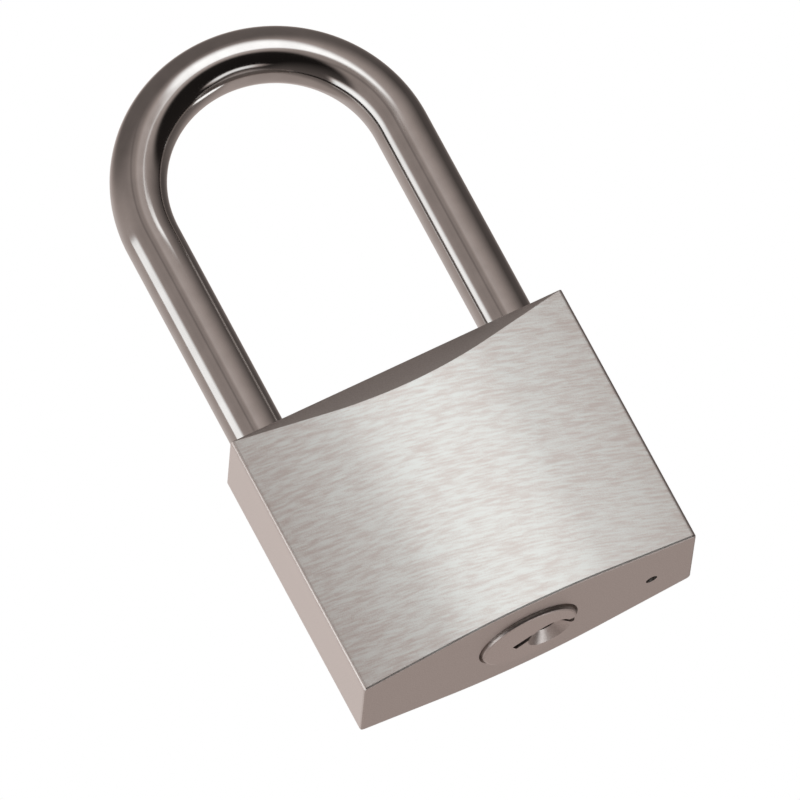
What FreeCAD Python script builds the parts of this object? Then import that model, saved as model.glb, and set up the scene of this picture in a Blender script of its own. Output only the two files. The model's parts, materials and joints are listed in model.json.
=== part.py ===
"""Solid-body padlock: a round bar shackle held by two bolts, worked by a pin tumbler plug.

Millimetres. The origin is the centre of the plug's face, which is the lowest point.
+X runs from the toe leg to the heel leg, the front face looks along -Y, and +Z is up.
"""
import FreeCAD
import Part
import math
import os
import Sketcher

# Driving dimensions: alias, value.
SIZES = [
    # Body
    ("plug_proud", 0.6),
    ("body_width", 50.0),
    ("body_height", 39.6),
    ("side_thickness", 15.8),
    ("ridge_half_width", 12.0),
    ("flank_rise", 2.5),
    ("bevel_reach", 6.0),
    ("bevel_steepness", 1.13),
    ("upright_edge_radius", 0.7),
    ("base_edge_break", 0.3),
    # Shackle
    ("shackle_diameter", 7.8),
    ("leg_spacing", 37.6),
    ("shackle_shift", 0.8),
    ("leg_above_body", 33.2),
    ("leg_clearance", 0.2),
    ("toe_end_level", 28.7),
    ("toe_bore_floor", 27.5),
    ("heel_end_level", 11.6),
    ("heel_bore_floor", 4.5),
    ("heel_neck_diameter", 5.8),
    ("heel_neck_bottom", 13.6),
    ("heel_neck_top", 28.8),
    ("leg_end_chamfer", 0.7),
    ("drain_diameter", 1.7),
    ("drain_right", 18.7),
    ("drain_back", 1.4),
    # Notches that the bolts enter
    ("notch_depth", 1.35),
    ("notch_floor_top", 36.8),
    ("notch_floor_bottom", 34.1),
    ("notch_ramp_slope", 0.29),
    # Plug
    ("plug_diameter", 14.1),
    ("plug_clearance", 0.05),
    ("plug_mouth_break", 0.35),
    ("plug_top", 26.4),
    ("plug_edge_break", 0.35),
    ("groove_bottom", 23.2),
    ("groove_top", 25.2),
    ("groove_diameter", 11.9),
    ("shank_diameter", 7.0),
    ("shank_top", 32.4),
    ("tongue_thickness", 1.8),
    ("tongue_length", 6.0),
    ("tongue_top", 37.4),
    ("chamber_top", 38.6),
    ("key_depth", 23.0),
    ("keyway_half_width", 0.62),
    ("keyway_edge_offset", 0.8),
    ("keyway_far_offset", 1.4),
    ("keyway_slant_start", 4.58),
    ("keyway_slant_end", 3.17),
    ("keyway_level_end", 0.28),
    ("keyway_far_end", 2.33),
    ("keyway_slant_mitre", 0.19),
    ("keyway_far_mitre", 0.31),
    ("lead_in_radius", 3.25),
    ("lead_in_depth", 2.0),
    ("lead_in_right", 3.0),
    ("lead_in_back", 1.5),
    # Cam and bolts
    ("cam_half_length", 5.6),
    ("cam_half_thickness", 1.9),
    ("cam_top", 38.2),
    ("bolt_level", 35.4),
    ("bolt_diameter", 5.0),
    ("bolt_clearance", 0.05),
    ("bolt_inner_end", 6.2),
    ("bolt_entry", 1.0),
    ("bolt_nose_diameter", 2.4),
    ("cross_cap_length", 1.2),
    # Pins
    ("pin_diameter", 2.85),
    ("pin_clearance", 0.075),
    ("first_pin_level", 6.4),
    ("pin_pitch", 3.6),
    ("key_pin_outer_end", 6.88),
    ("key_pin_floor", 2.3),
    ("key_pin_tip_diameter", 0.9),
    ("driver_inner_end", 7.12),
    ("driver_length", 5.0),
    ("driver_edge_break", 0.25),
    ("chamber_cap_length", 3.0),
    # Springs
    ("pin_spring_diameter", 2.6),
    ("pin_spring_wire", 0.35),
    ("pin_spring_pitch", 1.15),
    ("shackle_spring_diameter", 7.2),
    ("shackle_spring_wire", 0.9),
    ("shackle_spring_pitch", 1.45),
    ("spring_end_gap", 0.1),
    # Retaining pins
    ("shackle_pin_diameter", 2.5),
    ("shackle_pin_level", 27.4),
    ("shackle_pin_inner_end", 21.15),
    ("plug_pin_diameter", 1.8),
    ("plug_pin_level", 24.2),
    ("plug_pin_inner_end", 6.15),
    ("plug_pin_outer_end", 11.45),
]

# How far each key pin falls when the key is drawn out, from the lowest pin up.
PIN_DROPS = [2.4, 1.2, 3.0, 1.8, 3.4]

CUTTING_TYPES = ("PartDesign::Pocket", "PartDesign::Groove", "PartDesign::SubtractiveCone",
                 "PartDesign::Chamfer", "PartDesign::LinearPattern")
ORIGIN_POINT = (-1, 1)
HORIZONTAL_AXIS = -1
VERTICAL_AXIS = -2


class Length:
    """A number together with the spreadsheet expression that gives it."""

    def __init__(self, text, value):
        self.text = text
        self.value = value

    @staticmethod
    def of(thing):
        if isinstance(thing, Length):
            return thing
        return Length(f"({float(thing)})", float(thing))

    def __add__(self, other):
        other = Length.of(other)
        return Length(f"({self.text} + {other.text})", self.value + other.value)

    def __sub__(self, other):
        other = Length.of(other)
        return Length(f"({self.text} - {other.text})", self.value - other.value)

    def __mul__(self, other):
        other = Length.of(other)
        return Length(f"({self.text} * {other.text})", self.value * other.value)

    def __truediv__(self, other):
        other = Length.of(other)
        return Length(f"({self.text} / {other.text})", self.value / other.value)

    def __neg__(self):
        return self * -1

    def root(self):
        return Length(f"sqrt({self.text})", math.sqrt(self.value))


class Sizes:
    """The spreadsheet, with each alias as an attribute that holds a Length."""

    def __init__(self, document):
        self.sheet = document.addObject("Spreadsheet::Sheet", "sizes")
        for alias, value in SIZES:
            self.add(alias, value)

    def add(self, alias, value):
        row = len(vars(self))
        self.sheet.set(f"A{row}", alias)
        self.sheet.set(f"B{row}", str(value))
        self.sheet.setAlias(f"B{row}", alias)
        setattr(self, alias, Length(f"sizes.{alias}", float(value)))


doc = FreeCAD.newDocument("padlock")
size = Sizes(doc)
for number, drop in enumerate(PIN_DROPS, start=1):
    size.add(f"pin_drop_{number}", drop)
doc.recompute()

body_top = size.plug_proud + size.body_height
leg_radius = size.shackle_diameter / 2
leg_bore_radius = leg_radius + size.leg_clearance
heel_leg = size.leg_spacing / 2 - size.shackle_shift
toe_leg = size.leg_spacing / 2 + size.shackle_shift
plug_radius = size.plug_diameter / 2
plug_bore_radius = plug_radius + size.plug_clearance
bolt_radius = size.bolt_diameter / 2
bolt_bore_radius = bolt_radius + size.bolt_clearance
pin_radius = size.pin_diameter / 2
pin_hole_radius = pin_radius + size.pin_clearance
half_width = size.body_width / 2
half_side = size.side_thickness / 2


# ---- Tools for bodies, sketches and features ----

def bind(thing, prop, amount):
    thing.setExpression(prop, Length.of(amount).text)


def new_body(label):
    body = doc.addObject("PartDesign::Body", label)
    body.Label = label
    return body


def new_sketch(body, name, plane, **shift):
    """A sketch on one of the body's origin planes, shifted along the plane's own x, y and z."""
    sketch = body.newObject("Sketcher::SketchObject", name)
    support = next(item for item in body.Origin.OriginFeatures if item.Role == plane)
    sketch.AttachmentSupport = [(support, "")]
    sketch.MapMode = "FlatFace"
    for axis, amount in shift.items():
        bind(sketch, f"AttachmentOffset.Base.{axis}", amount)
    return sketch


def pin_down(sketch, geometry, point, x, y):
    """Fix one point of the sketch at (x, y) from its origin."""
    for kind, axis, amount in (("DistanceX", VERTICAL_AXIS, x), ("DistanceY", HORIZONTAL_AXIS, y)):
        amount = Length.of(amount)
        if amount.value == 0:
            sketch.addConstraint(Sketcher.Constraint("PointOnObject", geometry, point, axis))
            continue
        place = Sketcher.Constraint(kind, *ORIGIN_POINT, geometry, point, amount.value)
        bind(sketch, f"Constraints[{sketch.addConstraint(place)}]", amount)


def bind_radius(sketch, geometry, radius):
    rule = Sketcher.Constraint("Radius", geometry, Length.of(radius).value)
    bind(sketch, f"Constraints[{sketch.addConstraint(rule)}]", radius)


def draw_circle(sketch, x, y, radius):
    centre = FreeCAD.Vector(Length.of(x).value, Length.of(y).value, 0)
    curve = Part.Circle(centre, FreeCAD.Vector(0, 0, 1), radius.value)
    geometry = sketch.addGeometry(curve, False)
    pin_down(sketch, geometry, 3, x, y)
    bind_radius(sketch, geometry, radius)


def arc_between(start, end, radius):
    """The arc of less than half a turn that runs anticlockwise from start to end."""
    chord = end - start
    middle = (start + end) * 0.5
    rise = math.sqrt(max(radius ** 2 - chord.Length ** 2 / 4, 0))
    to_centre = FreeCAD.Vector(-chord.y, chord.x, 0).normalize() * rise
    centre = middle + to_centre
    first = math.atan2(start.y - centre.y, start.x - centre.x)
    last = math.atan2(end.y - centre.y, end.x - centre.x)
    circle = Part.Circle(centre, FreeCAD.Vector(0, 0, 1), radius)
    return Part.ArcOfCircle(circle, first, last)


def draw_outline(sketch, corners):
    """A closed outline; where a corner has a third value, an arc of that radius leaves it."""
    spots = [FreeCAD.Vector(Length.of(corner[0]).value, Length.of(corner[1]).value, 0)
             for corner in corners]
    for index, start in enumerate(spots):
        end = spots[(index + 1) % len(spots)]
        curved = len(corners[index]) > 2
        if curved:
            curve = arc_between(start, end, corners[index][2].value)
        else:
            curve = Part.LineSegment(start, end)
        geometry = sketch.addGeometry(curve, False)
        pin_down(sketch, geometry, 1, *corners[index][:2])
        if curved:
            bind_radius(sketch, geometry, corners[index][2])
        if index:
            sketch.addConstraint(Sketcher.Constraint("Coincident", geometry - 1, 2, geometry, 1))
    sketch.addConstraint(Sketcher.Constraint("Coincident", len(spots) - 1, 2, 0, 1))


def add_feature(body, kind, name, sketch, **amounts):
    feature = body.newObject(f"PartDesign::{kind}", name)
    feature.Profile = sketch
    for prop, amount in amounts.items():
        bind(feature, prop, amount)
    doc.recompute()
    return feature


def cut(body, name, sketch, depth, along_normal=False):
    """Cut the sketch into the body, against the sketch's normal unless told otherwise."""
    feature = add_feature(body, "Pocket", name, sketch, Length=depth)
    feature.Reversed = along_normal
    doc.recompute()
    return feature


def turn(body, kind, name, sketch, axis, degrees=360):
    """A revolution about one of the sketch's own axes, clockwise seen along that axis."""
    feature = add_feature(body, kind, name, sketch)
    feature.ReferenceAxis = (sketch, [axis])
    feature.Angle = degrees
    feature.Reversed = True
    doc.recompute()
    return feature


def edges_where(shape, is_wanted):
    return [f"Edge{index}" for index, edge in enumerate(shape.Edges, start=1) if is_wanted(edge)]


def soften(body, kind, name, base, is_wanted, prop, amount):
    feature = body.newObject(f"PartDesign::{kind}", name)
    feature.Base = (base, edges_where(base.Shape, is_wanted))
    bind(feature, prop, amount)
    doc.recompute()
    return feature


def repeat_up(body, name, feature, sketch):
    """Repeat a cut at every pin level."""
    pattern = body.newObject("PartDesign::LinearPattern", name)
    pattern.Originals = [feature]
    pattern.Direction = (sketch, ["V_Axis"])
    bind(pattern, "Length", size.pin_pitch * (len(PIN_DROPS) - 1))
    pattern.Occurrences = len(PIN_DROPS)
    body.Tip = pattern
    doc.recompute()
    return pattern


def is_level(edge, height):
    box = edge.BoundBox
    return abs(box.ZMin - height) < 1e-6 and abs(box.ZMax - height) < 1e-6


def pin_level(number):
    return size.first_pin_level + size.pin_pitch * (number - 1)


# ---- Case ----

def body_section(sketch):
    """Flat flanks that rise from the narrow sides to a rounded ridge, front and back."""
    ridge = size.ridge_half_width
    run = half_width - ridge
    slant = (run * run + size.flank_rise * size.flank_rise).root()
    ridge_radius = ridge * slant / size.flank_rise
    shoulder = half_side + size.flank_rise
    draw_outline(sketch, [
        (-half_width, -half_side),
        (-ridge, -shoulder, ridge_radius),
        (ridge, -shoulder),
        (half_width, -half_side),
        (half_width, half_side),
        (ridge, shoulder, ridge_radius),
        (-ridge, shoulder),
        (-half_width, half_side),
    ])


def bevel_sketch(body, name, side):
    """The wedge that bevels the bulge off the top, on the front (-1) or back (+1)."""
    sketch = new_sketch(body, name, "YZ_Plane", z=half_width)
    inner = half_side * side
    outer = inner + size.bevel_reach * side
    drop = size.bevel_reach * size.bevel_steepness
    corners = [(inner, body_top), (outer, body_top - drop), (outer, body_top)]
    draw_outline(sketch, corners)
    return sketch


def bore_down(body, name, across, radius, floor):
    sketch = new_sketch(body, f"{name}_sketch", "XY_Plane", z=body_top)
    draw_circle(sketch, across, 0, radius)
    cut(body, name, sketch, body_top - floor)


def bore_up(body, name, right, back, radius, ceiling):
    sketch = new_sketch(body, f"{name}_sketch", "XY_Plane", z=size.plug_proud)
    draw_circle(sketch, right, back, radius)
    return cut(body, name, sketch, ceiling - size.plug_proud, along_normal=True)


def is_plug_mouth(edge):
    """The round edge where the plug bore opens in the base."""
    box = edge.BoundBox
    is_round = abs(box.XLength - plug_bore_radius.value * 2) < 1e-3
    return is_round and is_level(edge, size.plug_proud.value)


def bore_from_side(body, name, side, level, radius, depth):
    """Bore inward from the narrow side at -X (-1) or +X (+1)."""
    sketch = new_sketch(body, f"{name}_sketch", "YZ_Plane", z=half_width * side)
    draw_circle(sketch, 0, level, radius)
    return cut(body, name, sketch, depth, along_normal=side < 0), sketch


def make_lock_body():
    body = new_body("lock_body")
    outline = new_sketch(body, "body_outline", "XY_Plane", z=size.plug_proud)
    body_section(outline)
    block = add_feature(body, "Pad", "body_block", outline, Length=size.body_height)

    def is_corner(edge):
        box = edge.BoundBox
        return box.ZLength > 1 and abs(box.XMin) > half_width.value - 1e-6

    rounded = soften(body, "Fillet", "upright_edges", block, is_corner, "Radius",
                     size.upright_edge_radius)
    soften(body, "Chamfer", "base_edges", rounded,
           lambda edge: is_level(edge, size.plug_proud.value), "Size", size.base_edge_break)
    for name, side in (("front_bevel", -1), ("back_bevel", 1)):
        cut(body, name, bevel_sketch(body, f"{name}_sketch", side), size.body_width)

    bore_down(body, "toe_bore", -toe_leg, leg_bore_radius, size.toe_bore_floor)
    bore_down(body, "heel_bore", heel_leg, leg_bore_radius, size.heel_bore_floor)
    bore_up(body, "drain_hole", size.drain_right, size.drain_back, size.drain_diameter / 2,
            size.heel_bore_floor + size.leg_clearance)
    plug_bore = bore_up(body, "plug_bore", 0, 0, plug_bore_radius, size.chamber_top)
    soften(body, "Chamfer", "plug_bore_mouth", plug_bore, is_plug_mouth, "Size",
           size.plug_mouth_break)
    bore_from_side(body, "cross_bore", -1, size.bolt_level, bolt_bore_radius,
                   half_width + heel_leg)
    bore_from_side(body, "shackle_pin_hole", 1, size.shackle_pin_level,
                   size.shackle_pin_diameter / 2, half_width - heel_leg)

    chamber, sketch = bore_from_side(body, "pin_chamber", -1, size.first_pin_level,
                                     pin_hole_radius, half_width - plug_radius / 2)
    repeat_up(body, "pin_chambers", chamber, sketch)

    behind = half_side + size.bevel_reach
    rear_hole = new_sketch(body, "plug_pin_sketch", "XZ_Plane", z=-behind)
    draw_circle(rear_hole, 0, size.plug_pin_level, size.plug_pin_diameter / 2)
    cut(body, "plug_pin_hole", rear_hole, behind - plug_radius / 2, along_normal=True)
    return body


# ---- Turned pieces ----

def make_turned(label, plane, axis, profile, placement=None, **shift):
    """A piece turned about one axis of its sketch."""
    body = new_body(label)
    sketch = new_sketch(body, f"{label}_profile", plane, **shift)
    draw_outline(sketch, profile)
    turn(body, "Revolution", f"{label}_turned", sketch, axis)
    if placement:
        body.Placement = placement
    return body


def make_side_cap(label, level, radius, cap_length):
    """A plain plug, flush with the narrow side at -X."""
    inner = cap_length - half_width
    profile = [(-half_width, 0), (inner, 0), (inner, radius), (-half_width, radius)]
    return make_turned(label, "XZ_Plane", "H_Axis", profile, y=level)


def make_key_pin(number):
    tip = size.key_pin_floor - getattr(size, f"pin_drop_{number}") - size.spring_end_gap
    tip_radius = size.key_pin_tip_diameter / 2
    shoulder = tip - pin_radius + tip_radius
    profile = [
        (-size.key_pin_outer_end, 0),
        (tip, 0),
        (tip, tip_radius),
        (shoulder, pin_radius),
        (-size.key_pin_outer_end, pin_radius),
    ]
    make_turned(f"key_pin_{number}", "XZ_Plane", "H_Axis", profile, y=pin_level(number))


def make_driver_pin(number):
    inner = -size.driver_inner_end
    outer = inner - size.driver_length
    edge = size.driver_edge_break
    profile = [
        (outer, 0),
        (inner, 0),
        (inner, pin_radius - edge),
        (inner - edge, pin_radius),
        (outer + edge, pin_radius),
        (outer, pin_radius - edge),
    ]
    make_turned(f"driver_pin_{number}", "XZ_Plane", "H_Axis", profile, y=pin_level(number))


def make_bolt(label, leg, half_turns):
    """A bolt with a ball end toward the cam and a coned nose in the leg's notch."""
    inner = size.bolt_inner_end
    outer = leg - leg_radius + size.bolt_entry
    nose_radius = size.bolt_nose_diameter / 2
    shoulder = outer - bolt_radius + nose_radius
    profile = [
        (inner, 0),
        (outer, 0),
        (outer, nose_radius),
        (shoulder, bolt_radius),
        (inner + bolt_radius, bolt_radius, bolt_radius),
    ]
    facing = FreeCAD.Rotation(FreeCAD.Vector(0, 0, 1), 180 * half_turns)
    placement = FreeCAD.Placement(FreeCAD.Vector(0, 0, 0), facing)
    make_turned(label, "XZ_Plane", "H_Axis", profile, placement, y=size.bolt_level)


def make_retaining_pins():
    radius = size.shackle_pin_diameter / 2
    inner = size.shackle_pin_inner_end
    profile = [(inner, 0), (half_width, 0), (half_width, radius), (inner, radius)]
    make_turned("shackle_retaining_pin", "XZ_Plane", "H_Axis", profile, y=size.shackle_pin_level)

    radius = size.plug_pin_diameter / 2
    inner = size.plug_pin_inner_end
    outer = size.plug_pin_outer_end
    profile = [(inner, 0), (outer, 0), (outer, radius), (inner, radius)]
    make_turned("plug_retaining_pin", "YZ_Plane", "H_Axis", profile, y=size.plug_pin_level)


# ---- Shackle ----

def make_shackle():
    body = new_body("shackle")
    bend_level = body_top + size.leg_above_body
    section = new_sketch(body, "bow_section", "XY_Plane", z=bend_level, x=-size.shackle_shift)
    draw_circle(section, size.leg_spacing / 2, 0, leg_radius)
    turn(body, "Revolution", "bow", section, "V_Axis", degrees=180)
    legs = (
        ("heel_leg", heel_leg, size.heel_end_level),
        ("toe_leg", -toe_leg, size.toe_end_level),
    )
    for name, across, end_level in legs:
        section = new_sketch(body, f"{name}_section", "XY_Plane", z=end_level)
        draw_circle(section, across, 0, leg_radius)
        bar = add_feature(body, "Pad", name, section, Length=bend_level - end_level)
    check_bar_volume(bar)

    def is_leg_end(edge):
        return any(is_level(edge, end_level.value) for _, _, end_level in legs)

    soften(body, "Chamfer", "leg_ends", bar, is_leg_end, "Size", size.leg_end_chamfer)

    neck = new_sketch(body, "heel_neck_sketch", "XZ_Plane", x=heel_leg)
    neck_radius = size.heel_neck_diameter / 2
    draw_outline(neck, [
        (neck_radius, size.heel_neck_bottom),
        (leg_bore_radius, size.heel_neck_bottom),
        (leg_bore_radius, size.heel_neck_top),
        (neck_radius, size.heel_neck_top),
    ])
    turn(body, "Groove", "heel_neck", neck, "V_Axis")
    for name, leg, side in (("heel_notch", heel_leg, 1), ("toe_notch", toe_leg, -1)):
        cut(body, name, notch_sketch(body, name, leg, side), leg_bore_radius * 2)


def check_bar_volume(bar):
    straight = (body_top.value + size.leg_above_body.value) * 2
    straight -= size.heel_end_level.value + size.toe_end_level.value
    bend = math.pi * size.leg_spacing.value / 2
    expected = math.pi * leg_radius.value ** 2 * (straight + bend)
    assert abs(bar.Shape.Volume / expected - 1) < 1e-3, "shackle bar volume"


def notch_sketch(body, name, leg, side):
    """The notch on a leg's inner side, with a long ramp below that drives the bolt back."""
    sketch = new_sketch(body, f"{name}_sketch", "XZ_Plane", z=leg_bore_radius)
    surface = leg - leg_radius
    floor = surface + size.notch_depth
    outside = surface - size.notch_depth
    depth_of_cut = size.notch_depth * 2
    ramp_drop = depth_of_cut / size.notch_ramp_slope
    draw_outline(sketch, [
        (floor * side, size.notch_floor_top),
        (outside * side, size.notch_floor_top + depth_of_cut),
        (outside * side, size.notch_floor_bottom - ramp_drop),
        (floor * side, size.notch_floor_bottom),
    ])
    return sketch


# ---- Plug and cam ----

def make_plug():
    edge = size.plug_edge_break
    groove_radius = size.groove_diameter / 2
    shank_radius = size.shank_diameter / 2
    body = make_turned("plug", "XZ_Plane", "V_Axis", [
        (0, 0),
        (plug_radius - edge, 0),
        (plug_radius, edge),
        (plug_radius, size.groove_bottom),
        (groove_radius, size.groove_bottom),
        (groove_radius, size.groove_top),
        (plug_radius, size.groove_top),
        (plug_radius, size.plug_top),
        (shank_radius, size.plug_top),
        (shank_radius, size.shank_top),
        (0, size.shank_top),
    ])
    tongue = new_sketch(body, "tongue_outline", "XY_Plane", z=size.shank_top)
    draw_rectangle(tongue, size.tongue_length / 2, size.tongue_thickness / 2)
    add_feature(body, "Pad", "tongue", tongue, Length=size.tongue_top - size.shank_top)

    keyway = new_sketch(body, "keyway_outline", "XY_Plane")
    draw_outline(keyway, keyway_corners())
    cut(body, "keyway", keyway, size.key_depth, along_normal=True)

    lead_in = body.newObject("PartDesign::SubtractiveCone", "lead_in")
    bind(lead_in, "Radius1", size.lead_in_radius)
    bind(lead_in, "Radius2", size.keyway_half_width)
    bind(lead_in, "Height", size.lead_in_depth)
    bind(lead_in, "Placement.Base.x", size.lead_in_right)
    bind(lead_in, "Placement.Base.y", size.lead_in_back)
    doc.recompute()

    hole_sketch = new_sketch(body, "pin_hole_sketch", "YZ_Plane", z=-plug_radius)
    draw_circle(hole_sketch, 0, size.first_pin_level, pin_hole_radius)
    hole = cut(body, "pin_hole", hole_sketch, plug_radius + size.key_pin_floor, along_normal=True)
    repeat_up(body, "pin_holes", hole, hole_sketch)


def keyway_corners():
    """A slot of one width that opens at the plug's right side and bends twice.

    The middle line runs level, drops on a slant, runs level again and rises at its far end.
    """
    half = size.keyway_half_width
    edge_row = size.keyway_edge_offset
    far_row = size.keyway_far_offset
    slant_mitre = size.keyway_slant_mitre
    far_mitre = size.keyway_far_mitre
    right = plug_radius + half
    far_end = -size.keyway_far_end
    return [
        (right, edge_row - half),
        (right, edge_row + half),
        (size.keyway_slant_start - slant_mitre, edge_row + half),
        (size.keyway_slant_end - slant_mitre, half),
        (size.keyway_level_end + slant_mitre, half),
        (far_end + far_mitre, far_row + half),
        (far_end - far_mitre, far_row - half),
        (size.keyway_level_end - slant_mitre, -half),
        (size.keyway_slant_end + slant_mitre, -half),
        (size.keyway_slant_start + slant_mitre, edge_row - half),
    ]


def draw_rectangle(sketch, half_long, half_short):
    draw_outline(sketch, [
        (-half_long, -half_short),
        (half_long, -half_short),
        (half_long, half_short),
        (-half_long, half_short),
    ])


def make_locking_cam():
    body = new_body("locking_cam")
    half = size.cam_half_thickness
    flat = size.cam_half_length - half
    outline = new_sketch(body, "cam_outline", "XY_Plane", z=size.shank_top)
    draw_outline(outline, [
        (-flat, -half),
        (flat, -half, half),
        (size.cam_half_length, 0, half),
        (flat, half),
        (-flat, half, half),
        (-size.cam_half_length, 0, half),
    ])
    add_feature(body, "Pad", "cam_bar", outline, Length=size.cam_top - size.shank_top)
    slot = new_sketch(body, "cam_slot_outline", "XY_Plane", z=size.shank_top)
    draw_rectangle(slot, size.tongue_length / 2, size.tongue_thickness / 2)
    cut(body, "cam_slot", slot, size.tongue_top - size.shank_top, along_normal=True)


# ---- Springs ----

def make_spring(label, diameter, wire, pitch, room, placement):
    """A round wire coil along its own +Z, which fills the room less a gap at each end."""
    coil_height = room - wire - size.spring_end_gap * 2
    coil_radius = (diameter - wire) / 2
    helix = doc.addObject("Part::Helix", f"{label}_helix")
    bind(helix, "Pitch", pitch)
    bind(helix, "Height", coil_height)
    bind(helix, "Radius", coil_radius)
    section = doc.addObject("Part::Circle", f"{label}_section")
    bind(section, "Radius", wire / 2)
    bind(section, "Placement.Base.x", coil_radius)
    section.Placement.Rotation = FreeCAD.Rotation(FreeCAD.Vector(1, 0, 0), 90)
    spring = doc.addObject("Part::Sweep", label)
    spring.Label = label
    spring.Sections = [section]
    spring.Spine = (helix, ["Edge1"])
    spring.Solid = True
    spring.Frenet = True
    doc.recompute()
    turns = (coil_height / pitch).value
    wire_length = turns * math.hypot(2 * math.pi * coil_radius.value, pitch.value)
    expected = math.pi * (wire.value / 2) ** 2 * wire_length
    assert abs(spring.Shape.Volume / expected - 1) < 0.02, label
    spring.Placement = placement


def make_pin_spring(number):
    """Between the driver pin and its chamber cap, coiled along +X."""
    cap_end = half_width - size.chamber_cap_length
    room = cap_end - size.driver_inner_end - size.driver_length
    start = size.pin_spring_wire.value / 2 + size.spring_end_gap.value - cap_end.value
    along_x = FreeCAD.Rotation(FreeCAD.Vector(0, 1, 0), 90)
    spot = FreeCAD.Vector(start, 0, pin_level(number).value)
    make_spring(f"pin_spring_{number}", size.pin_spring_diameter, size.pin_spring_wire,
                size.pin_spring_pitch, room, FreeCAD.Placement(spot, along_x))


def make_shackle_spring():
    room = size.heel_end_level - size.heel_bore_floor
    start = size.heel_bore_floor.value + size.shackle_spring_wire.value / 2
    spot = FreeCAD.Vector(heel_leg.value, 0, start + size.spring_end_gap.value)
    make_spring("shackle_spring", size.shackle_spring_diameter, size.shackle_spring_wire,
                size.shackle_spring_pitch, room, FreeCAD.Placement(spot, FreeCAD.Rotation()))


# ---- Whole lock ----

def make_pin_stack(number):
    make_key_pin(number)
    make_driver_pin(number)
    make_pin_spring(number)
    make_side_cap(f"chamber_cap_{number}", pin_level(number), pin_hole_radius,
                  size.chamber_cap_length)


def make_all():
    make_lock_body()
    make_side_cap("cross_bore_cap", size.bolt_level, bolt_bore_radius, size.cross_cap_length)
    make_retaining_pins()
    make_shackle()
    make_shackle_spring()
    make_plug()
    make_locking_cam()
    make_bolt("bolt_right", heel_leg, 0)
    make_bolt("bolt_left", toe_leg, 1)
    for number in range(1, len(PIN_DROPS) + 1):
        make_pin_stack(number)


def check_document():
    for item in doc.Objects:
        assert not {"Invalid", "Error"} & set(item.State), f"{item.Label} failed"
        if item.TypeId not in CUTTING_TYPES:
            continue
        smaller = item.Shape.Volume < item.BaseFeature.Shape.Volume - 1e-4
        assert smaller, f"{item.Label} removes nothing"


def write_parts():
    os.makedirs("parts", exist_ok=True)
    pieces = [item for item in doc.Objects if item.TypeId in ("PartDesign::Body", "Part::Sweep")]
    for piece in pieces:
        shape = piece.Shape
        assert not shape.isNull() and shape.isValid(), f"{piece.Label} has a bad shape"
        assert len(shape.Solids) == 1, f"{piece.Label} isn't one solid"
        shape.exportStep(f"parts/{piece.Label}.step")
        box = shape.BoundBox
        print(f"{piece.Label:24s} volume {shape.Volume:9.2f}  x {box.XMin:7.2f} {box.XMax:7.2f}"
              f"  y {box.YMin:7.2f} {box.YMax:7.2f}  z {box.ZMin:7.2f} {box.ZMax:7.2f}")


make_all()
doc.recompute()
check_document()
write_parts()
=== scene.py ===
"""A closed padlock with a brushed solid body, a polished bar shackle and a nickelled key plug.

Metres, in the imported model's frame: +X to the heel leg, -Y out of the front face, +Z up.
"""

import json
import math

import bpy
from mathutils import Matrix, Vector

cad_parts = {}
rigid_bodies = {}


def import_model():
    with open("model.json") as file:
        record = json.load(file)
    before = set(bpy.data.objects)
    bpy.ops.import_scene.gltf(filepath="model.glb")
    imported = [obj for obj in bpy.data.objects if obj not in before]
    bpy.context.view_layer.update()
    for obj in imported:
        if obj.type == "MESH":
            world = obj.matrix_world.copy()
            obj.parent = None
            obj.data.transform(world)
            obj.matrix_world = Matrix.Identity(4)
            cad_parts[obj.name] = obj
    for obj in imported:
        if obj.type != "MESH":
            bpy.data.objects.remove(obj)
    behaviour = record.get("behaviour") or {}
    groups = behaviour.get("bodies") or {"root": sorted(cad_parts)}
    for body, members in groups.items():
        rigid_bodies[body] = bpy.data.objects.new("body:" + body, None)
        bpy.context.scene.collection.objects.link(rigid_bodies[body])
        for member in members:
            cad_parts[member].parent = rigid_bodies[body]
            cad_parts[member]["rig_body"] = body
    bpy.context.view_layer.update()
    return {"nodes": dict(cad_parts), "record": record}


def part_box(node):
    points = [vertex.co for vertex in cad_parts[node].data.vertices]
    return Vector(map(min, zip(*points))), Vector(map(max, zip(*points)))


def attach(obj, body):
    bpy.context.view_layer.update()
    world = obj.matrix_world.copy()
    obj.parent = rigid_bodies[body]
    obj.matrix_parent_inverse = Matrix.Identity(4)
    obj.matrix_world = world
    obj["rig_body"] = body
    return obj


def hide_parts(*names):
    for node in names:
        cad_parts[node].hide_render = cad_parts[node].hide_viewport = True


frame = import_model()

MM = 0.001

# Body
SIDE_THICKNESS = 15.8 * MM
RIDGE_HALF_WIDTH = 12.0 * MM
UPRIGHT_EDGE_RADIUS = 0.7 * MM
EDGE_STEPS = 16
RIDGE_STEPS = 24
BEVEL_STEEPNESS = 1.13
BASE_BREAK = 0.3 * MM
EDGE_BREAK = 0.13 * MM
ROUND_SHARE = 0.29  # of a break: how far the middle of its round lies inside the corner
PLUG_BORE_RADIUS = 7.1 * MM
PLUG_MOUTH_BREAK = 0.35 * MM
PLUG_MOUTH_WAIST = 0.21 * MM
PLUG_MOUTH_DEPTH = 0.7 * MM
LEG_BORE_RADIUS = 4.1 * MM
DRAIN_RADIUS = 0.85 * MM
DRAIN_RIGHT = 18.7 * MM
DRAIN_BACK = 1.4 * MM
CHAMBER_TOP = 38.6 * MM
TOE_BORE_FLOOR = 27.5 * MM
HEEL_BORE_FLOOR = 4.5 * MM

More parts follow.
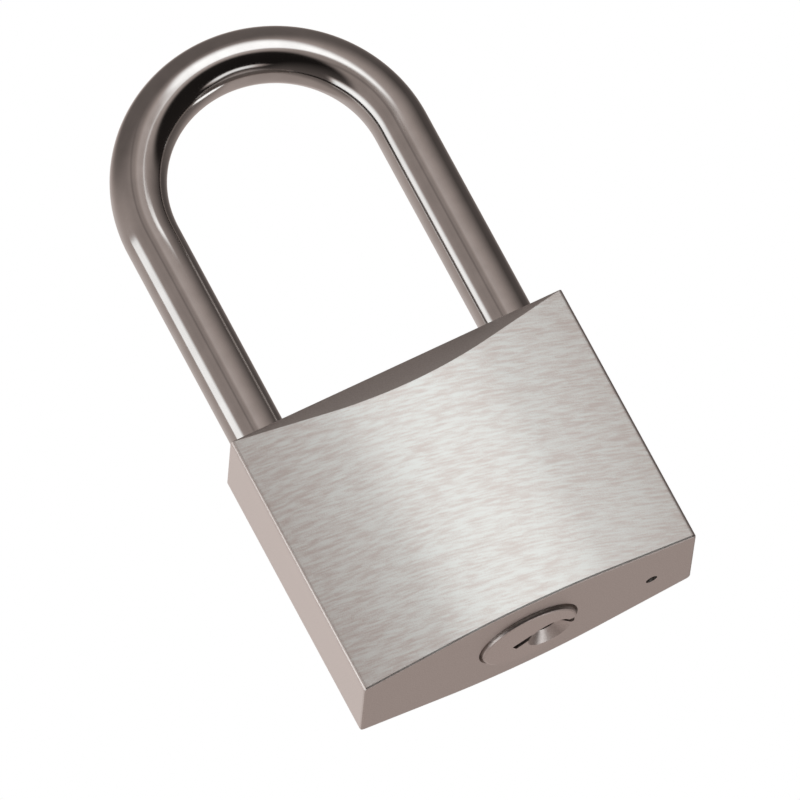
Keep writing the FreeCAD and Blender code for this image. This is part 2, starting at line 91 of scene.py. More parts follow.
# Shackle
NECK_RADIUS = 2.9 * MM
NECK_BOTTOM = 13.6 * MM
NECK_TOP = 28.8 * MM
LEG_END_CHAMFER = 0.7 * MM
TOE_END = 28.7 * MM
NOTCH_DEPTH = 1.35 * MM
NOTCH_TOP = 36.8 * MM
NOTCH_BOTTOM = 34.1 * MM
NOTCH_RAMP = 0.29
LEG_ROW_GAP = 2 * MM
SHOULDER_STEP = 0.001 * MM  # between the two rows of a square shoulder

# Plug
PLUG_RADIUS = 7.05 * MM
PLUG_FACE_BREAK = 0.35 * MM
PLUG_FACE_ROUND = 0.105 * MM
GROOVE_BOTTOM = 23.2 * MM
GROOVE_TOP = 25.2 * MM
GROOVE_RADIUS = 5.95 * MM
PLUG_BARREL_TOP = 26.4 * MM
SHANK_RADIUS = 3.5 * MM
SHANK_TOP = 32.4 * MM
TONGUE_HALF_LENGTH = 3.0 * MM
TONGUE_HALF_THICKNESS = 0.9 * MM
TONGUE_TOP = 37.4 * MM
KEY_DEPTH = 23.0 * MM
KEYWAY_HALF = 0.62 * MM
LEAD_IN_CENTRE = Vector((3.0 * MM, 1.5 * MM, 0))
LEAD_IN_RADIUS = 3.25 * MM
LEAD_IN_DEPTH = 2.0 * MM
LEAD_IN_PIT_RADIUS = 1.6 * MM
LEAD_IN_PIT_DEPTH = 3.5 * MM
PIN_HOLE_RADIUS = 1.5 * MM
PIN_HOLE_END = 2.3 * MM


# ---- Surface finishes ----

class Field:
    """A number that varies over a surface, which can be reckoned with like a plain number."""

    def __init__(self, finish, socket):
        self.finish = finish
        self.socket = socket

    def reckon(self, operation, *terms):
        return self.finish.node("ShaderNodeMath", {"operation": operation},
                                dict(enumerate(terms)))[0]

    def __add__(self, other):
        return self.reckon("ADD", self, other)

    __radd__ = __add__

    def __sub__(self, other):
        return self.reckon("SUBTRACT", self, other)

    def __rsub__(self, other):
        return self.reckon("SUBTRACT", other, self)

    def __mul__(self, other):
        return self.reckon("MULTIPLY", self, other)

    __rmul__ = __mul__

    def __truediv__(self, other):
        return self.reckon("DIVIDE", self, other)

    def __pow__(self, other):
        return self.reckon("POWER", self, other)

    def __abs__(self):
        return self.reckon("ABSOLUTE", self)

    def ramp(self, low, high):
        """0 at low, 1 at high and smooth between, whichever of the two is larger."""
        settings = {"interpolation_type": "SMOOTHSTEP"}
        start, end = (0, 1) if low < high else (1, 0)
        inputs = {"Value": self, "From Min": min(low, high), "From Max": max(low, high),
                  "To Min": start, "To Max": end}
        return self.finish.node("ShaderNodeMapRange", settings, inputs)["Result"]


class Outputs:
    """A node's outputs, by name or number, as fields."""

    def __init__(self, finish, node):
        self.finish = finish
        self.node = node

    def __getitem__(self, key):
        return Field(self.finish, self.node.outputs[key])


class Finish:
    """A node tree under construction."""

    def __init__(self, tree):
        self.tree = tree
        tree.nodes.clear()

    def node(self, kind, settings=None, inputs=None):
        made = self.tree.nodes.new(kind)
        for key, value in (settings or {}).items():
            if key == "stops":
                set_stops(made.color_ramp, value)
            else:
                setattr(made, key, value)
        for key, value in (inputs or {}).items():
            if isinstance(value, Field):
                self.tree.links.new(value.socket, made.inputs[key])
            else:
                made.inputs[key].default_value = value
        return Outputs(self, made)

    def mix(self, share, first, second):
        """A colour between two colours."""
        settings = {"data_type": "RGBA"}
        inputs = {0: share, 6: opaque(first), 7: opaque(second)}
        return self.node("ShaderNodeMix", settings, inputs)[2]

    def scaled(self, vector, scale):
        inputs = {0: vector, 1: scale}
        return self.node("ShaderNodeVectorMath", {"operation": "MULTIPLY"}, inputs)[0]

    def noise(self, vector, detail):
        """Soft lumps one unit of the vector across."""
        inputs = {"Vector": vector, "Scale": 1.0, "Detail": detail}
        return self.node("ShaderNodeTexNoise", {}, inputs)["Fac"]

    def bump(self, height, distance, strength):
        inputs = {"Height": height, "Distance": distance, "Strength": strength}
        return self.node("ShaderNodeBump", {}, inputs)["Normal"]


def opaque(colour):
    return colour if isinstance(colour, Field) else (*colour, 1.0)


def set_stops(ramp, stops):
    while len(ramp.elements) < len(stops):
        ramp.elements.new(1.0)
    for element, (position, level) in zip(ramp.elements, stops):
        element.position = position
        element.color = (level, level, level, 1.0)


def new_finish(name):
    material = bpy.data.materials.new(name)
    material.use_nodes = True
    return material, Finish(material.node_tree)


def finish_metal(finish, base, roughness, normal):
    inputs = {"Base Color": opaque(base), "Metallic": 1.0, "Roughness": roughness,
              "Normal": normal}
    shader = finish.node("ShaderNodeBsdfPrincipled", {}, inputs)
    finish.node("ShaderNodeOutputMaterial", {}, {"Surface": shader["BSDF"]})


def place(finish):
    """Where a point is on the object, in metres."""
    return finish.node("ShaderNodeTexCoord")["Object"]


def split(finish, vector):
    parts = finish.node("ShaderNodeSeparateXYZ", {}, {0: vector})
    return parts[0], parts[1], parts[2]


def join(finish, x, y, z):
    return finish.node("ShaderNodeCombineXYZ", {}, {0: x, 1: y, 2: z})[0]


def make_body_metal():
    """Brushed on the front and back, satin on the narrow sides, dull on the bevels and base."""
    material, finish = new_finish("body_metal")
    spot = place(finish)
    x, y, z = split(finish, spot)
    facing = finish.node("ShaderNodeNewGeometry")["True Normal"]
    across, outward, upward = split(finish, facing)
    is_broad = abs(outward).ramp(0.84, 0.9)
    is_level = abs(upward).ramp(0.3, 0.5)

    # The brushing runs down to the right in long shallow arcs.
    slope = x * 0.95 + 0.195
    along = x + z * 0.15
    over = z + x * slope
    grain = finish.noise(finish.scaled(spot, (5200, 5200, 5200)), detail=2.0)
    streaks = grain * 0.15
    # Each layer: lumps to the metre along and over the brushing, then detail and weight.
    for along_rate, over_rate, detail, weight in (
            (480, 3000, 3.0, 0.42), (260, 1600, 3.0, 0.30), (130, 650, 2.0, 0.13)):
        where = join(finish, along * along_rate, y * 20, over * over_rate)
        streaks = streaks + finish.noise(where, detail) * weight

    light = (0.905, 0.965, 0.965)
    dark = (0.74, 0.715, 0.70)
    brushed = finish.mix(streaks.ramp(0.36, 0.62), dark, light)
    satin = finish.mix(grain.ramp(0.3, 0.7), (0.74, 0.71, 0.69), (0.82, 0.79, 0.77))
    dull = finish.mix(grain.ramp(0.3, 0.7), (0.60, 0.565, 0.545), (0.68, 0.645, 0.625))
    base = finish.mix(is_level, finish.mix(is_broad, satin, brushed), dull)
    roughness = 0.34 + streaks * 0.16 * is_broad + is_level * 0.12
    relief = streaks * is_broad + grain * 0.25
    normal = finish.bump(relief, 0.00006, 0.5)
    finish_metal(finish, base, roughness, normal)
    return material


def make_shackle_chrome():
    """Warm bright plating over a drawn bar, with faint lengthwise draw lines."""
    material, finish = new_finish("shackle_chrome")
    spot = place(finish)
    lines = finish.noise(finish.scaled(spot, (900, 900, 60)), detail=3.0)
    haze = finish.noise(finish.scaled(spot, (300, 300, 300)), detail=3.0)
    base = finish.mix(haze.ramp(0.3, 0.7), (0.52, 0.51, 0.50), (0.57, 0.56, 0.55))
    roughness = 0.07 + haze * 0.04 + lines * 0.04
    normal = finish.bump(lines, 0.000004, 0.4)
    finish_metal(finish, base, roughness, normal)
    return material


def make_plug_nickel():
    """Satin plating with the rings that turning leaves on the face."""
    material, finish = new_finish("plug_nickel")
    spot = place(finish)
    x, y, z = split(finish, spot)
    radius = (x * x + y * y) ** 0.5
    rings = finish.noise(join(finish, radius * 5200, z * 5200, 0.0), detail=1.0)
    grain = finish.noise(finish.scaled(spot, (4200, 4200, 4200)), detail=2.0)
    base = finish.mix(grain.ramp(0.3, 0.7), (0.56, 0.52, 0.50), (0.66, 0.62, 0.60))
    normal = finish.bump(rings * 0.6 + grain * 0.4, 0.00002, 0.4)
    finish_metal(finish, base, 0.30 + grain * 0.14, normal)
    return material


def make_turned_metal(name, low, high, roughness):
    """A plain turned metal for the works inside."""
    material, finish = new_finish(name)
    spot = place(finish)
    cuts = finish.noise(finish.scaled(spot, (6000, 900, 900)), detail=2.0)
    tone = finish.noise(finish.scaled(spot, (500, 500, 500)), detail=2.0)
    base = finish.mix(tone.ramp(0.3, 0.7), low, high)
    finish_metal(finish, base, roughness + cuts * 0.1, finish.bump(cuts, 0.00001, 0.5))
    return material


# ---- Mesh making ----

# Edges that turn more than this stay crisp, so that small breaks do not shade the long walls.
SHARP_DEGREES = 12


def new_piece(name, points, faces, material):
    mesh = bpy.data.meshes.new(name)
    mesh.from_pydata([tuple(point) for point in points], [], faces)
    mesh.validate()
    mesh.update()
    piece = bpy.data.objects.new(name, mesh)
    bpy.context.scene.collection.objects.link(piece)
    if material:
        mesh.materials.append(material)
    smooth(piece)
    return piece


def smooth(piece):
    mesh = piece.data
    mesh.polygons.foreach_set("use_smooth", [True] * len(mesh.polygons))
    mesh.set_sharp_from_angle(angle=math.radians(SHARP_DEGREES))


def band_faces(rows, columns):
    """Quads between rows of points, where each row is a closed loop."""
    faces = []
    for row in range(rows - 1):
        below = row * columns
        above = below + columns
        for column in range(columns):
            after = (column + 1) % columns
            faces.append((below + column, below + after, above + after, above + column))
    return faces


def lathe(name, profile, segments, material=None):
    """A solid turned about Z from (radius, height) pairs that start and end on the axis."""
    points = [(0, 0, profile[0][1])]
    for radius, height in profile[1:-1]:
        for step in range(segments):
            angle = 2 * math.pi * step / segments
            points.append((radius * math.cos(angle), radius * math.sin(angle), height))
    points.append((0, 0, profile[-1][1]))
    rows = len(profile) - 2
    faces = [[index + 1 for index in face] for face in band_faces(rows, segments)]
    last = len(points) - 1
    for step in range(segments):
        after = (step + 1) % segments
        faces.append([0, 1 + after, 1 + step])
        top = 1 + (rows - 1) * segments
        faces.append([last, top + step, top + after])
    return new_piece(name, points, faces, material)


def rod(radius, length, end, direction, segments=96):
    """A plain round cutter that starts at end and runs along direction."""
    cutter = lathe("cutter", [(0, 0), (radius, 0), (radius, length), (0, length)], segments)
    turn = Vector((0, 0, 1)).rotation_difference(Vector(direction)).to_matrix().to_4x4()
    # Half a step of turn keeps the cutter's corners off the walls' own columns.
    half_step = Matrix.Rotation(math.pi / segments, 4, "Z")
    cutter.matrix_world = Matrix.Translation(end) @ turn @ half_step
    return cutter


def prism(outline, low, high):
    """A cutter with an upright wall round a flat outline."""
    count = len(outline)
    points = [(x, y, level) for level in (low, high) for x, y in outline]
    faces = band_faces(2, count)
    faces.append(list(range(count))[::-1])
    faces.append(list(range(count, 2 * count)))
    return new_piece("cutter", points, faces, None)


def carve(piece, cutters, additions=()):
    """Join every addition to the piece, cut every cutter out, and leave a plain mesh."""
    tools = [("UNION", addition) for addition in additions]
    tools += [("DIFFERENCE", cutter) for cutter in cutters]
    for operation, tool in tools:
        modifier = piece.modifiers.new("carve", "BOOLEAN")
        modifier.operation = operation
        modifier.solver = "EXACT"
        modifier.object = tool
    bpy.context.view_layer.update()
    shape = piece.evaluated_get(bpy.context.evaluated_depsgraph_get())
    mesh = bpy.data.meshes.new_from_object(shape)
    piece.modifiers.clear()
    piece.data = mesh
    for _, tool in tools:
        bpy.data.objects.remove(tool)
    smooth(piece)


def stand_in(piece, node):
    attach(piece, frame["nodes"][node]["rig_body"])
    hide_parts(node)


# ---- Body ----

body_low, body_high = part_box("lock_body")
half_width = body_high.x
bulge = body_high.y - SIDE_THICKNESS / 2
base_level = body_low.z
top_level = body_high.z
shackle_low, shackle_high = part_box("shackle")
leg_radius = shackle_high.y
heel_leg = shackle_high.x - leg_radius
toe_leg = shackle_low.x + leg_radius
bow_middle = (heel_leg + toe_leg) / 2
bow_radius = (heel_leg - toe_leg) / 2
bend_level = shackle_high.z - bow_radius - leg_radius


def flank_slope():
    """The slope of the flat flanks that meets the ridge's arc smoothly at the right bulge."""
    low, high = 0.0, 1.0
    for _ in range(50):
        slope = (low + high) / 2
        rise = slope * (half_width - RIDGE_HALF_WIDTH)
        arc = RIDGE_HALF_WIDTH * math.tan(math.atan(slope) / 2)
        low, high = (slope, high) if rise + arc < bulge else (low, slope)
    return slope


def bulge_at(x, slope):
    """How far the broad face stands out beyond the narrow side's edge."""
    if abs(x) >= RIDGE_HALF_WIDTH:
        return slope * (half_width - abs(x))
    radius = RIDGE_HALF_WIDTH / math.sin(math.atan(slope))
    drop = radius - math.sqrt(radius ** 2 - x ** 2)
    return bulge - drop


def quarter_outline():
    """Points and outward normals from the middle of the +X side to the middle of the back."""
    slope = flank_slope()
    lean = math.atan(slope)
    radius = UPRIGHT_EDGE_RADIUS
    half_side = SIDE_THICKNESS / 2
    # The edge's arc touches the side and the flank, and turns through less than a right angle.
    reach = radius * math.tan((math.pi / 2 - lean) / 2)
    centre = Vector((half_width - radius, half_side - reach))
    columns = []
    for part in (0, 0.25, 0.5, 0.75, 0.985):
        columns.append((Vector((half_width, centre.y * part)), Vector((1, 0))))
    for step in range(EDGE_STEPS + 1):
        angle = (math.pi / 2 - lean) * step / EDGE_STEPS
        normal = Vector((math.cos(angle), math.sin(angle)))
        columns.append((centre + normal * radius, normal))
    flank_start = columns[-1][0].x
    flank_normal = columns[-1][1]
    for part in (0.01, 0.15, 0.3, 0.45, 0.6, 0.75, 0.9, 1):
        x = flank_start + (RIDGE_HALF_WIDTH - flank_start) * part
        columns.append((Vector((x, half_side + bulge_at(x, slope))), flank_normal))
    ridge_radius = RIDGE_HALF_WIDTH / math.sin(lean)
    for step in range(1, RIDGE_STEPS + 1):
        x = RIDGE_HALF_WIDTH * (1 - step / RIDGE_STEPS)
        normal = Vector((x / ridge_radius, math.sqrt(1 - (x / ridge_radius) ** 2)))
        columns.append((Vector((x, half_side + bulge_at(x, slope))), normal))
    return columns


def whole_outline():
    right_back = quarter_outline()
    left_back = [(Vector((-p.x, p.y)), Vector((-n.x, n.y))) for p, n in right_back[-2::-1]]
    back = right_back + left_back
    front = [(Vector((p.x, -p.y)), Vector((n.x, -n.y))) for p, n in back[-2:0:-1]]
    return back + front


def wall_profile(reach):
    """(inward by the bevel, inward by the edge break, height) up one column of the wall.

    The reach is how far the bevel cuts in at this column.
    """
    crest = top_level - reach * BEVEL_STEEPNESS
    length = math.hypot(reach, reach * BEVEL_STEEPNESS)
    cut = min(EDGE_BREAK, length / 2)
    share = cut / EDGE_BREAK
    step = cut / length if length else 0

    def on_bevel(part):
        return Vector((reach * part, 0, crest + (top_level - crest) * part))

    below = Vector((0, 0, crest - EDGE_BREAK))
    end = Vector((reach, EDGE_BREAK, top_level))
    corner = (below + on_bevel(0.5) * 2 + end) / 4
    first = corner.lerp(on_bevel(step), share)
    second = corner.lerp(on_bevel(1 - step), share)
    low_round = (below + on_bevel(0) * 2 + first) / 4
    high_round = (second + on_bevel(1) * 2 + end) / 4
    return [
        Vector((0, BASE_BREAK, base_level)),
        Vector((0, BASE_BREAK * ROUND_SHARE, base_level + BASE_BREAK * ROUND_SHARE)),
        Vector((0, 0, base_level + BASE_BREAK)),
        below,
        low_round,
        first,
        second,
        high_round,
        end,
    ]


def make_body(material):
    outline = whole_outline()
    columns = []
    for point, normal in outline:
        overhang = max(abs(point.y) - SIDE_THICKNESS / 2, 0)
        side = math.copysign(1, point.y)
        column = []
        for inward, broken, height in wall_profile(overhang):
            spot = point - normal * broken - Vector((0, side * inward))
            column.append((spot.x, spot.y, height))
        columns.append(column)
    rows = len(columns[0])
    points = [columns[index][row] for row in range(rows) for index in range(len(outline))]
    count = len(outline)
    faces = band_faces(rows, count)
    faces.append(list(range(count))[::-1])
    faces.append(list(range((rows - 1) * count, rows * count)))
    body = new_piece("lock_body_shell", points, faces, material)
    carve(body, body_cutters())
    stand_in(body, "lock_body")
    return body


def body_cutters():
    over = 1 * MM
    down = (0, 0, -1)
    up = (0, 0, 1)
    below = base_level - over
    cutters = [
        rod(LEG_BORE_RADIUS, top_level + over - TOE_BORE_FLOOR,
            Vector((toe_leg, 0, top_level + over)), down),
        rod(LEG_BORE_RADIUS, top_level + over - HEEL_BORE_FLOOR,
            Vector((heel_leg, 0, top_level + over)), down),
        rod(DRAIN_RADIUS, HEEL_BORE_FLOOR + over - below,
            Vector((DRAIN_RIGHT, DRAIN_BACK, below)), up, 48),
        plug_bore_cutter(below),
    ]
    for node, depth in side_bores():
        low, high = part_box(node)
        from_left = low.x < 0
        start = Vector((-half_width - over if from_left else half_width + over, 0,
                        (low.z + high.z) / 2))
        radius = (high.z - low.z) / 2
        cutters.append(rod(radius, depth + over, start, (1 if from_left else -1, 0, 0), 48))
    low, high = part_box("plug_retaining_pin")
    start = Vector((0, body_high.y + over, (low.z + high.z) / 2))
    cutters.append(rod((high.z - low.z) / 2, start.y - PLUG_BORE_RADIUS / 2, start,
                       (0, -1, 0), 32))
    return cutters


def plug_bore_cutter(below):
    """A round bore from below the base, opened out where it leaves the base."""
    mouth = PLUG_BORE_RADIUS + PLUG_MOUTH_BREAK
    return lathe("cutter", [
        (0, below),
        (mouth, below),
        (mouth, base_level),
        (PLUG_BORE_RADIUS + PLUG_MOUTH_WAIST, base_level + PLUG_MOUTH_DEPTH / 2),
        (PLUG_BORE_RADIUS, base_level + PLUG_MOUTH_DEPTH),
        (PLUG_BORE_RADIUS, CHAMBER_TOP),
        (0, CHAMBER_TOP),
    ], 192)


def side_bores():
    """Each piece that closes a bore in a narrow side, with how deep its bore runs."""
    bores = [(f"chamber_cap_{number}", half_width - PLUG_BORE_RADIUS / 2)
             for number in range(1, 6)]
    bores.append(("cross_bore_cap", half_width + heel_leg))
    bores.append(("shackle_retaining_pin", half_width - heel_leg))
    return bores


# ---- Shackle ----

def leg_levels(end_level):
    """Heights up a leg, with a row at every place where the leg's shape changes."""
    ramp_end = NOTCH_BOTTOM - NOTCH_DEPTH / NOTCH_RAMP
    marks = {end_level, end_level + LEG_END_CHAMFER, ramp_end, NOTCH_BOTTOM, NOTCH_TOP,
             NOTCH_TOP + NOTCH_DEPTH}
    if end_level < NECK_BOTTOM:
        marks |= {NECK_BOTTOM, NECK_BOTTOM + SHOULDER_STEP, NECK_TOP, NECK_TOP + SHOULDER_STEP}
    height = NOTCH_TOP + LEG_ROW_GAP
    while height < bend_level:
        marks.add(height)
        height += LEG_ROW_GAP
    return sorted(marks)


def notch_at(height):
    """How deep the notch is at a height on a leg."""
    if height >= NOTCH_TOP:
        return max(NOTCH_DEPTH - (height - NOTCH_TOP), 0)
    return max(NOTCH_DEPTH - max(NOTCH_BOTTOM - height, 0) * NOTCH_RAMP, 0)


def leg_radius_at(height, end_level):
    if height <= end_level:
        return leg_radius - LEG_END_CHAMFER
    is_neck = NECK_BOTTOM < height <= NECK_TOP and end_level < NECK_BOTTOM
    return NECK_RADIUS if is_neck else leg_radius


def leg_ring(leg, height, end_level, segments):
    """A ring round a leg whose middle is at x = leg, from the inner side round the front."""
    radius = leg_radius_at(height, end_level)
    limit = leg_radius - notch_at(height)
    side = math.copysign(1, leg)
    ring = []
    for step in range(segments):
        angle = 2 * math.pi * step / segments
        inward = min(math.cos(angle) * radius, limit)
        ring.append((leg - side * inward, -math.sin(angle) * radius, height))
    return ring


def make_shackle(material, segments=72, bend_steps=96):
    heel_end = shackle_low.z
    rows = [leg_ring(heel_leg, height, heel_end, segments) for height in leg_levels(heel_end)]
    for step in range(bend_steps + 1):
        turn = math.pi * step / bend_steps
        ring = []
        for part in range(segments):
            angle = 2 * math.pi * part / segments
            reach = bow_radius - math.cos(angle) * leg_radius
            ring.append((bow_middle + reach * math.cos(turn), -math.sin(angle) * leg_radius,
                         bend_level + reach * math.sin(turn)))
        rows.append(ring)
    toe_levels = leg_levels(TOE_END)
    rows += [leg_ring(toe_leg, height, TOE_END, segments) for height in reversed(toe_levels)]
    points = [point for row in rows for point in row]
    faces = band_faces(len(rows), segments)
    faces.append(list(range(segments))[::-1])
    faces.append(list(range(len(points) - segments, len(points))))
    shackle = new_piece("shackle_bar", points, faces, material)
    stand_in(shackle, "shackle")


# ---- Plug ----

def keyway_outline():
    """A slot of one width that opens at the plug's right side and bends three times."""
    half = KEYWAY_HALF
    edge_row = 0.8 * MM
    far_row = 1.4 * MM
    slant_start = 4.58 * MM
    slant_end = 3.17 * MM
    level_end = 0.28 * MM
    far_end = -2.33 * MM
    slant_mitre = 0.19 * MM
    far_mitre = 0.31 * MM
    right = PLUG_RADIUS + half
    return [
        (right, edge_row - half),
        (right, edge_row + half),
        (slant_start - slant_mitre, edge_row + half),
        (slant_end - slant_mitre, half),
        (level_end + slant_mitre, half),
        (far_end + far_mitre, far_row + half),
        (far_end - far_mitre, far_row - half),
        (level_end - slant_mitre, -half),
        (slant_end + slant_mitre, -half),
        (slant_start + slant_mitre, edge_row - half),
    ]


def make_plug(material):
    plug = lathe("key_plug", [
        (0, 0),
        (PLUG_RADIUS - PLUG_FACE_BREAK, 0),
        (PLUG_RADIUS - PLUG_FACE_ROUND, PLUG_FACE_ROUND),
        (PLUG_RADIUS, PLUG_FACE_BREAK),
        (PLUG_RADIUS, GROOVE_BOTTOM),
        (GROOVE_RADIUS, GROOVE_BOTTOM),
        (GROOVE_RADIUS, GROOVE_TOP),
        (PLUG_RADIUS, GROOVE_TOP),
        (PLUG_RADIUS, PLUG_BARREL_TOP),
        (SHANK_RADIUS, PLUG_BARREL_TOP),
        (SHANK_RADIUS, SHANK_TOP),
        (0, SHANK_TOP),
    ], 160, material)
    over = 1 * MM
    cutters = [prism(keyway_outline(), -over, KEY_DEPTH)]
    slope = (LEAD_IN_RADIUS - KEYWAY_HALF) / LEAD_IN_DEPTH
    cone = lathe("cutter", [
        (0, -over),
        (LEAD_IN_RADIUS + slope * over, -over),
        (LEAD_IN_PIT_RADIUS, (LEAD_IN_RADIUS - LEAD_IN_PIT_RADIUS) / slope),
        (LEAD_IN_PIT_RADIUS, LEAD_IN_PIT_DEPTH),
        (0, LEAD_IN_PIT_DEPTH),
    ], 96)
    cone.location = LEAD_IN_CENTRE
    cutters.append(cone)
    for number in range(1, 6):
        low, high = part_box(f"key_pin_{number}")
        start = Vector((-PLUG_RADIUS - over, 0, (low.z + high.z) / 2))
        length = PIN_HOLE_END - start.x
        cutters.append(rod(PIN_HOLE_RADIUS, length, start, (1, 0, 0), 48))
    long, thick = TONGUE_HALF_LENGTH, TONGUE_HALF_THICKNESS
    corners = [(-long, -thick), (long, -thick), (long, thick), (-long, thick)]
    tongue = prism(corners, SHANK_TOP - over, TONGUE_TOP)
    carve(plug, cutters, [tongue])
    stand_in(plug, "plug")


# ---- Works inside, which keep their own shapes ----

def dress_works(finishes):
    shown = {"lock_body", "shackle", "plug"}
    for part in frame["record"]["subparts"]:
        if part["node"] in shown:
            continue
        mesh = frame["nodes"][part["node"]].data
        mesh.materials.clear()
        mesh.materials.append(finishes[part["material_slot"]])


# ---- Room, light and camera ----

def make_floor():
    """A pale floor far below, so that a low camera looks over it."""
    reach = 3.0
    level = -0.9
    points = [(-reach, -reach, level), (reach, -reach, level), (reach, reach, level),
              (-reach, reach, level)]
    material, finish = new_finish("floor_paint")
    speckle = finish.noise(finish.scaled(place(finish), (40, 40, 40)), detail=3.0)
    base = finish.mix(speckle, (0.88, 0.88, 0.87), (0.93, 0.93, 0.92))
    shader = finish.node("ShaderNodeBsdfPrincipled", {}, {
        "Base Color": base, "Roughness": 0.8, "Emission Color": base, "Emission Strength": 0.7})
    finish.node("ShaderNodeOutputMaterial", {}, {"Surface": shader["BSDF"]})
    floor = new_piece("floor", points, [(0, 1, 2, 3)], material)
    floor.visible_glossy = False


# How far in front of the lock the card and the soft box stand, one above the other.
LIGHT_FRONT = -55 * MM


def make_bow_card():
    """A glowing card close in front of the bow, unseen by the camera and soft at its edges."""
    left, full_left, fading_right, right = -6 * MM, 4 * MM, 20 * MM, 36 * MM
    low, full_low, fading_high, high = 91 * MM, 94.5 * MM, 116 * MM, 145 * MM
    material, finish = new_finish("card_glow")
    x, _, z = split(finish, place(finish))
    # The lower left corner is cut off on a slant.
    share = (x + z * 0.45).ramp(49 * MM, 51.2 * MM)
    share = share * x.ramp(left, full_left) * x.ramp(right, fading_right)
    share = share * z.ramp(low, full_low) * z.ramp(high, fading_high)
    clear = finish.node("ShaderNodeBsdfTransparent")
    glow = finish.node("ShaderNodeEmission", {}, {"Strength": 1.8})
    seen = finish.node("ShaderNodeMixShader", {}, {
        0: share, 1: clear["BSDF"], 2: glow["Emission"]})
    finish.node("ShaderNodeOutputMaterial", {}, {"Surface": seen[0]})
    corners = ((left, low), (right, low), (right, high), (left, high))
    points = [(across, LIGHT_FRONT, height) for across, height in corners]
    card = new_piece("bow_card", points, [(0, 1, 2, 3)], material)
    card.visible_camera = False
    card.visible_shadow = False


def make_front_light(body):
    """A soft box that lights the body alone, so that it does not show in the polished shackle."""
    data = bpy.data.lights.new("front_light", "AREA")
    data.shape = "RECTANGLE"
    data.size = 70 * MM
    data.size_y = 90 * MM
    data.energy = 0.0112
    data.color = (0.96, 1.0, 0.99)
    light = bpy.data.objects.new("front_light", data)
    bpy.context.scene.collection.objects.link(light)
    light.location = (14 * MM, LIGHT_FRONT, 35 * MM)
    light.rotation_euler = (math.radians(90), 0, 0)
    light.visible_camera = False
    lit = bpy.data.collections.new("front_lit")
    lit.objects.link(body)
    light.light_linking.receiver_collection = lit


def share_of_turn(degrees):
    return degrees / 360 + 0.5


def studio_ramp(finish, turn, stops):
    """A brightness that changes with the direction round the lock, in degrees from its front."""
    settings = {"stops": [(share_of_turn(angle), level) for angle, level in stops]}
    return finish.node("ShaderNodeValToRGB", settings, {0: share_of_turn(turn)})["Color"]


def toward(level, target, share):
    """The level where the share is 0, and the target where it is 1."""
    return level + (target - level) * share


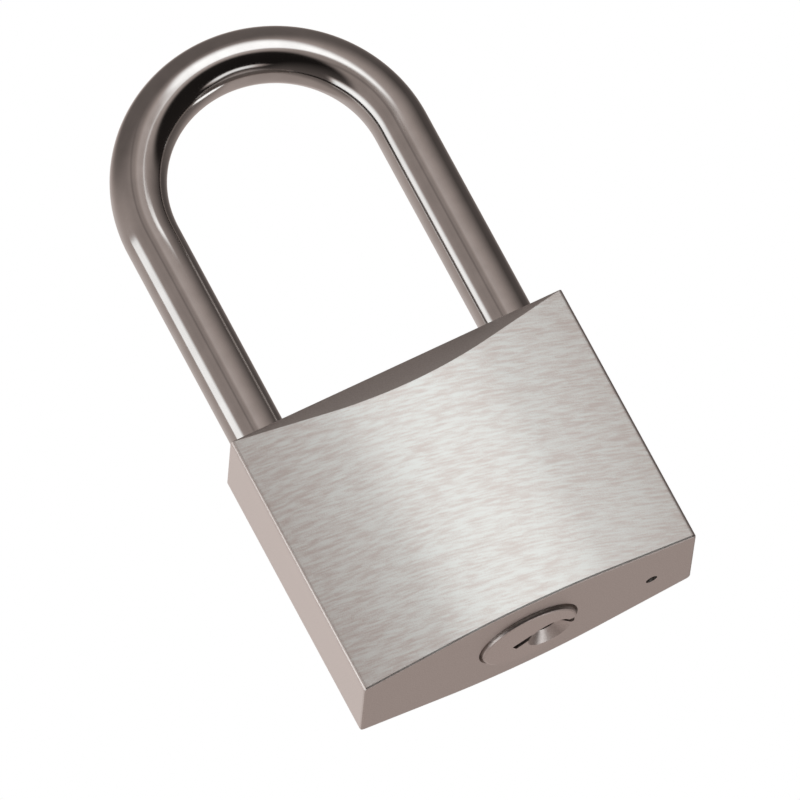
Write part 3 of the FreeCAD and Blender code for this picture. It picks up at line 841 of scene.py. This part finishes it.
def make_studio():
    """The room that the metal mirrors, with warm dim walls and a white soft box.

    Turns are in degrees from the front toward the heel side, and rises above eye level.
    The camera itself sees plain white.
    """
    world = bpy.data.worlds.new("studio")
    bpy.context.scene.world = world
    world.use_nodes = True
    finish = Finish(world.node_tree)
    x, y, z = split(finish, finish.node("ShaderNodeTexCoord")["Generated"])
    turn = x.reckon("ARCTAN2", x, 0 - y) * math.degrees(1)
    rise = z.reckon("ARCSINE", z) * math.degrees(1)

    walls = studio_ramp(finish, turn, [
        (-180, 0.34), (-150, 0.34), (-110, 0.26), (-70, 0.23), (-40, 0.19), (-24, 0.20),
        (-18, 0.12), (-13, 0.19), (-4, 0.20), (6, 0.31), (24, 0.27), (42, 0.21), (68, 0.11),
        (86, 0.05), (118, 0.06), (145, 0.12), (162, 0.25), (180, 0.34)])
    ground = studio_ramp(finish, turn, [
        (-180, 0.26), (-125, 0.22), (-100, 0.08), (-64, 0.05), (-30, 0.006), (84, 0.01),
        (105, 0.07), (130, 0.11), (160, 0.25), (180, 0.26)])
    underfoot, overhead, box, bow_spark, keyhole_spark = 0.24, 0.09, 0.82, 0.65, 1.3
    level = toward(walls, ground, rise.ramp(-3, -14))
    level = toward(level, underfoot, rise.ramp(-66, -84))
    level = toward(level, overhead, rise.ramp(26, 58))
    side_box = turn.ramp(-103, -99) * turn.ramp(-60, -76)
    side_box = side_box * rise.ramp(-30, -22) * rise.ramp(21, 18.2)
    level = toward(level, box, side_box)
    bow_glint = turn.ramp(-40, 0) * turn.ramp(60, 30)
    bow_glint = bow_glint * rise.ramp(-68, -64) * rise.ramp(-54, -58)
    level = toward(level, bow_spark, bow_glint)
    keyhole_glint = (x * 0.42 + y * 0.15 - z * 0.89).ramp(0.965, 0.985)
    level = toward(level, keyhole_spark, keyhole_glint)

    tint = finish.mix(level.ramp(0.22, 0.55), (1.0, 0.84, 0.78), (1.0, 1.0, 1.0))
    mirrored = finish.mix(level, (0, 0, 0), tint)
    for_camera = finish.node("ShaderNodeLightPath")["Is Camera Ray"]
    room = finish.node("ShaderNodeBackground", {}, {"Color": mirrored, "Strength": 2.0})
    plain = finish.node("ShaderNodeBackground", {}, {"Color": opaque((1, 1, 1))})
    seen = finish.node("ShaderNodeMixShader", {}, {
        0: for_camera, 1: room["Background"], 2: plain["Background"]})
    finish.node("ShaderNodeOutputWorld", {}, {"Surface": seen[0]})


CAMERA_TURN = math.radians(-11.75)
CAMERA_RISE = math.radians(-17.58)
CAMERA_ROLL = math.radians(28.5)
CAMERA_DISTANCE = 2.5
VIEW_WIDTH = 107.3 * MM
CAMERA_AIM = Vector((-2.37 * MM, -10.54 * MM, 34.69 * MM))


def make_camera():
    """Low in front and a little to the left, rolled so that the lock leans to the left."""
    data = bpy.data.cameras.new("camera")
    data.sensor_width = 36.0
    data.lens = data.sensor_width * CAMERA_DISTANCE / VIEW_WIDTH
    data.clip_end = 20.0
    camera = bpy.data.objects.new("camera", data)
    bpy.context.scene.collection.objects.link(camera)
    backward = Vector((math.sin(CAMERA_TURN) * math.cos(CAMERA_RISE),
                       -math.cos(CAMERA_TURN) * math.cos(CAMERA_RISE), math.sin(CAMERA_RISE)))
    facing = backward.to_track_quat("Z", "Y").to_matrix().to_4x4()
    roll = Matrix.Rotation(-CAMERA_ROLL, 4, "Z")
    spot = Matrix.Translation(CAMERA_AIM + backward * CAMERA_DISTANCE)
    camera.matrix_world = spot @ facing @ roll
    bpy.context.scene.camera = camera


def set_colours():
    view = bpy.context.scene.view_settings
    view.view_transform = "Standard"
    view.look = "None"


finishes = {
    "body_metal": make_body_metal(),
    "shackle_chrome": make_shackle_chrome(),
    "plug_nickel": make_plug_nickel(),
    "bolt_steel": make_turned_metal("bolt_steel", (0.45, 0.45, 0.46), (0.58, 0.58, 0.58), 0.25),
    "pin_brass": make_turned_metal("pin_brass", (0.74, 0.55, 0.25), (0.84, 0.66, 0.34), 0.22),
    "spring_steel": make_turned_metal("spring_steel", (0.50, 0.50, 0.51), (0.62, 0.62, 0.62),
                                      0.20),
}
body = make_body(finishes["body_metal"])
make_shackle(finishes["shackle_chrome"])
make_plug(finishes["plug_nickel"])
dress_works(finishes)
make_floor()
make_studio()
make_bow_card()
make_front_light(body)
make_camera()
set_colours()
